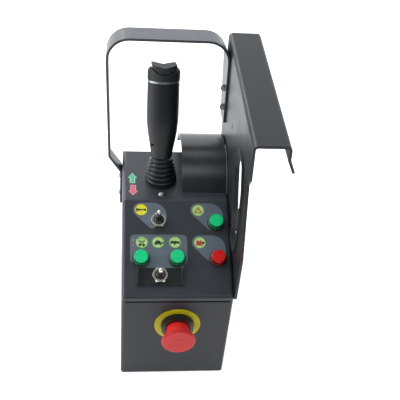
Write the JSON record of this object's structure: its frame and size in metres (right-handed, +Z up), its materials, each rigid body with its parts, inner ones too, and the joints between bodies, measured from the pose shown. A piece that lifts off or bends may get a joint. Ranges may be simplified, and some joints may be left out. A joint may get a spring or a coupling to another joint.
{
  "type": "scissor lift control box",
  "caption": "Platform control box with a sloped switch panel, sprung joystick, emergency stop, toggle switches, pilot lamps, a leaning hoop and a side plate that hooks over a rail",
  "frame": {"origin": "centre of the housing's flat base", "axes": "+X to the operator's right, towards the rail hook; +Y away from the operator; +Z up"},
  "size_m": [0.1989, 0.2958, 0.3491],
  "materials": {
    "body_paint": "dark grey fine-texture powder coat",
    "lid_paint": "dark grey fine-texture powder coat",
    "plate_paint": "dark grey fine-texture powder coat",
    "guard_paint": "dark grey semi-matt powder coat",
    "hoop_paint": "dark grey semi-matt powder coat",
    "guard_plate_paint": "dark grey powder coat",
    "black_rubber": "matt black rubber edging",
    "zinc_steel": "zinc plated",
    "rivet_steel": "painted over",
    "bright_steel": "bright steel",
    "dark_steel": "blackened steel",
    "black_plastic": "matt black moulding",
    "sensor_green": "matt moulding",
    "boot_rubber": "satin black rubber bellows",
    "grip_plastic": "satin black moulding",
    "chrome_ring": "polished",
    "head_plastic": "satin black moulding",
    "rocker_plastic": "satin black moulding",
    "stop_yellow": "matt yellow",
    "collar_plastic": "black moulding",
    "contact_green": "matt moulding",
    "stop_red": "red moulding",
    "lens_green": "translucent green lens",
    "lens_red": "translucent red lens",
    "lamp_black": "black bezel",
    "switch_blue": "matt moulding",
    "chrome_nut": "bright nickel",
    "chrome_lever": "bright nickel",
    "seal_rubber": "glossy black silicone seal",
    "board_green": "lacquered board",
    "gland_plastic": "matt black moulding"
  },
  "bodies": {
    "console": {"lower_box": "body_paint", "rear_cover": "body_paint", "rear_screws": "zinc_steel", "console_lid": "lid_paint", "lid_seal": "black_rubber", "side_plate": "plate_paint", "side_plate_bolts": "zinc_steel", "slot_trim": "black_rubber", "curved_guard": "guard_paint", "guard_rivets": "rivet_steel", "hoop": "hoop_paint", "hoop_bolts": "zinc_steel", "hoop_nuts": "zinc_steel", "hoop_foot_bolts": "zinc_steel", "joystick_base": "black_plastic", "joystick_screws": "bright_steel", "joystick_pin": "bright_steel", "centering_springs": "dark_steel", "joystick_sensor": "sensor_green", "joystick_boot": "boot_rubber", "stop_ring": "stop_yellow", "stop_collar": "collar_plastic", "stop_locknut": "black_plastic", "stop_contacts": "contact_green", "lamp_lift_lens": "lens_green", "lamp_lift_body": "lamp_black", "lamp_speed_lens": "lens_green", "lamp_speed_body": "lamp_black", "lamp_fault_lens": "lens_green", "lamp_fault_body": "lamp_black", "lamp_battery_lens": "lens_red", "lamp_battery_body": "lamp_black", "lamp_nuts": "black_plastic", "horn_switch_case": "switch_blue", "horn_switch_nut": "chrome_nut", "selector_guard": "guard_plate_paint", "selector_switch_case": "switch_blue", "selector_switch_nut": "chrome_nut", "circuit_board": "board_green", "board_standoffs": "zinc_steel", "cable_gland": "gland_plastic", "gland_nut": "gland_plastic"},
    "joystick": {"joystick_shaft": "bright_steel", "joystick_grip": "grip_plastic", "grip_screw": "dark_steel", "grip_ring": "chrome_ring", "grip_head": "head_plastic", "trigger_pin": "bright_steel"},
    "rocker": {"steering_rocker": "rocker_plastic", "rocker_pin": "bright_steel"},
    "trigger": {"drive_trigger": "rocker_plastic"},
    "stop_push": {"stop_plunger": "black_plastic"},
    "stop_button": {"stop_head": "stop_red"},
    "horn_toggle": {"horn_lever": "chrome_lever", "horn_seal": "seal_rubber"},
    "selector_toggle": {"selector_lever": "chrome_lever", "selector_seal": "seal_rubber"}
  },
  "joints": [
    {"name": "joystick_tilt", "type": "hinge", "parent": "console", "child": "joystick", "pos_m": [-0.0172, 0.03987, 0.1829], "axis": [-1, 0, 0], "range_deg": [-18, 18], "stiffness_Nm_per_rad": 3, "deforming": ["joystick_boot"]},
    {"name": "rocker_steer", "type": "hinge", "parent": "joystick", "child": "rocker", "pos_m": [-0.0172, 0.09621, 0.32235], "axis": [0, 0.9272, -0.3746], "range_deg": [-8, 8], "stiffness_Nm_per_rad": 0.2},
    {"name": "trigger_squeeze", "type": "hinge", "parent": "joystick", "child": "trigger", "pos_m": [-0.0172, 0.09765, 0.29254], "axis": [-1, 0, 0], "range_deg": [0, 8], "stiffness_Nm_per_rad": 0.5},
    {"name": "stop_press", "type": "slide", "parent": "console", "child": "stop_push", "axis": [0, 1, 0], "range_m": [0, 0.004]},
    {"name": "stop_twist", "type": "hinge", "parent": "stop_push", "child": "stop_button", "pos_m": [0.0016, -0.125, 0.0945], "axis": [0, 1, 0], "range_deg": [0, 30], "stiffness_Nm_per_rad": 0.1},
    {"name": "horn_flick", "type": "hinge", "parent": "console", "child": "horn_toggle", "pos_m": [-0.0219, -0.02319, 0.1881], "axis": [1, 0, 0], "range_deg": [0, 24], "stiffness_Nm_per_rad": 0.1},
    {"name": "selector_flick", "type": "hinge", "parent": "console", "child": "selector_toggle", "pos_m": [-0.0212, -0.0875, 0.16166], "axis": [1, 0, 0], "range_deg": [-12, 12]}
  ]
}
